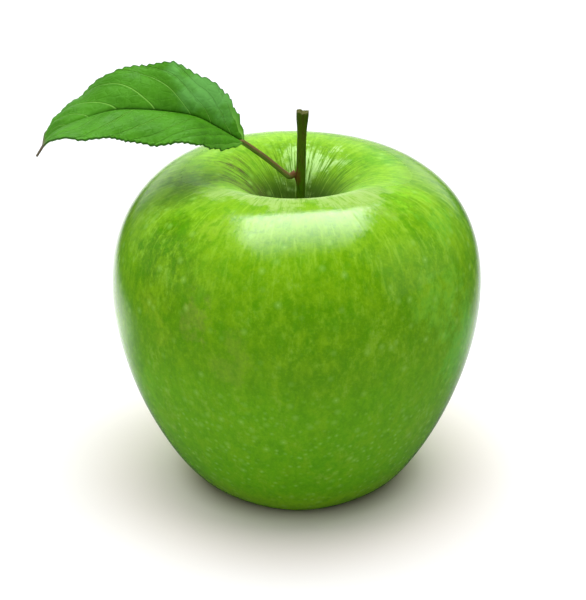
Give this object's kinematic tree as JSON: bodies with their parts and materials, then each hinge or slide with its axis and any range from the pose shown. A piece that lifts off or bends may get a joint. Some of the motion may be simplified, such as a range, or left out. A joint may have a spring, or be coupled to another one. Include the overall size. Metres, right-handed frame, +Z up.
{
  "type": "green apple",
  "caption": "Whole green eating apple with a hollowed top and base, a cut woody stem, a stalked toothed leaf and dried flower parts in the base; rests on small flat spots under its lobes.",
  "frame": {"origin": "middle of the whole object's footprint, on the surface the apple stands on", "axes": "+Z up along the fruit's axis, +X from the leaf's side to the fruit's side, +Y to the back as first seen"},
  "size_m": [0.09, 0.0768, 0.0872],
  "materials": {
    "apple_skin": "waxy green fruit skin with pale dots, glossy",
    "stem_bark": "dark olive green woody stem, matt",
    "leaf_green": "fresh green leaf, soft sheen, netted veins",
    "dry_sepal": "dry brown papery sepal, matt",
    "dry_stamen": "dry dark brown stamens, matt"
  },
  "bodies": {
    "root": {"fruit": "apple_skin", "stem": "stem_bark", "leaf": "leaf_green", "stamen_tuft": "dry_stamen", "sepal_1": "dry_sepal", "sepal_2": "dry_sepal", "sepal_3": "dry_sepal", "sepal_4": "dry_sepal", "sepal_5": "dry_sepal"}
  },
  "joints": []
}
